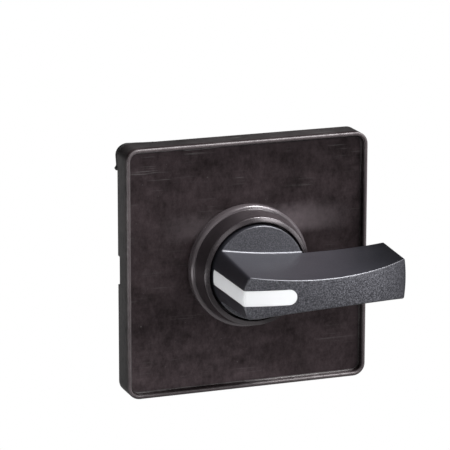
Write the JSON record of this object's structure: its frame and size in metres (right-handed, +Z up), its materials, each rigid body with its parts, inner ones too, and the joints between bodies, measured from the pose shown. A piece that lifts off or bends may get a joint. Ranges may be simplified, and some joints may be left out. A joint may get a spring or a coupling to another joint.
{
  "type": "rotary isolator switch",
  "caption": "Panel-mounted rotary isolator switch with a square front plate, round bezel, arched lever handle with a pointer inlay, lock nut and a cam-operated contact block.",
  "frame": {"origin": "on the switch axis, at the flat back face of the contact block", "axes": "+Z up, +X to the right as seen from the front, the handle points towards -Y, +Y runs back along the switch axis"},
  "size_m": [0.0615, 0.0676, 0.06],
  "materials": {
    "plate_black": "semi-gloss moulded black with a brown cast",
    "bezel_grey": "satin warm grey",
    "handle_grey": "fine-grained bluish dark grey",
    "inlay_white": "smooth white",
    "wheel_white": "natural moulded",
    "cam_red": "moulded",
    "block_grey": "moulded, lightly sparked",
    "seal_rubber": "soft black",
    "zinc_steel": "zinc-plated",
    "spring_steel": "drawn",
    "contact_brass": "stamped"
  },
  "bodies": {
    "base": {"front_plate": "plate_black", "plate_gasket": "seal_rubber", "bezel_collar": "bezel_grey", "flange_seal": "seal_rubber", "lock_washer": "zinc_steel", "lock_nut": "zinc_steel", "locking_fork": "zinc_steel", "index_housing": "block_grey", "index_spring_upper": "spring_steel", "index_spring_lower": "spring_steel", "cell_housing_rear": "block_grey", "cell_housing_front": "block_grey", "rear_cover": "block_grey", "housing_screw_upper": "zinc_steel", "housing_screw_lower": "zinc_steel", "line_terminal_1": "contact_brass", "load_terminal_1": "contact_brass", "line_screw_1": "zinc_steel", "load_screw_1": "zinc_steel", "contact_spring_1": "spring_steel", "line_terminal_2": "contact_brass", "load_terminal_2": "contact_brass", "line_screw_2": "zinc_steel", "load_screw_2": "zinc_steel", "contact_spring_2": "spring_steel", "line_terminal_3": "contact_brass", "load_terminal_3": "contact_brass", "line_screw_3": "zinc_steel", "load_screw_3": "zinc_steel", "contact_spring_3": "spring_steel", "line_terminal_4": "contact_brass", "load_terminal_4": "contact_brass", "line_screw_4": "zinc_steel", "load_screw_4": "zinc_steel", "contact_spring_4": "spring_steel"},
    "handle_rotor": {"handle": "handle_grey", "indicator_inlay": "inlay_white", "spindle": "zinc_steel", "spindle_pin": "spring_steel", "shaft_seal": "seal_rubber", "retaining_clip": "spring_steel", "index_wheel": "wheel_white", "cam_rear": "cam_red", "cam_front": "cam_red"},
    "moving_contact_1": {"contact_carrier_1": "cam_red", "contact_bridge_1": "contact_brass"},
    "moving_contact_2": {"contact_carrier_2": "cam_red", "contact_bridge_2": "contact_brass"},
    "moving_contact_3": {"contact_carrier_3": "cam_red", "contact_bridge_3": "contact_brass"},
    "moving_contact_4": {"contact_carrier_4": "cam_red", "contact_bridge_4": "contact_brass"}
  },
  "joints": [
    {"name": "handle_turn", "type": "hinge", "parent": "base", "child": "handle_rotor", "pos_m": [0, -0.042, 0], "axis": [0, 1, 0], "range_deg": [0, 90], "deforming": ["index_spring_upper", "index_spring_lower"]},
    {"name": "contact_1_slide", "type": "slide", "parent": "base", "child": "moving_contact_1", "axis": [1, 0, 0], "range_m": [0, 0.0026], "deforming": ["contact_spring_1"]},
    {"name": "contact_2_slide", "type": "slide", "parent": "base", "child": "moving_contact_2", "axis": [-1, 0, 0], "range_m": [0, 0.0026], "deforming": ["contact_spring_2"]},
    {"name": "contact_3_slide", "type": "slide", "parent": "base", "child": "moving_contact_3", "axis": [1, 0, 0], "range_m": [0, 0.0026], "deforming": ["contact_spring_3"]},
    {"name": "contact_4_slide", "type": "slide", "parent": "base", "child": "moving_contact_4", "axis": [-1, 0, 0], "range_m": [0, 0.0026], "deforming": ["contact_spring_4"]}
  ],
  "couplings": [
    {"joint": "contact_1_slide", "follows": "handle_turn", "m_per_rad": 0.001655},
    {"joint": "contact_2_slide", "follows": "handle_turn", "m_per_rad": 0.001655},
    {"joint": "contact_3_slide", "follows": "handle_turn", "m_per_rad": 0.001655},
    {"joint": "contact_4_slide", "follows": "handle_turn", "m_per_rad": 0.001655}
  ]
}
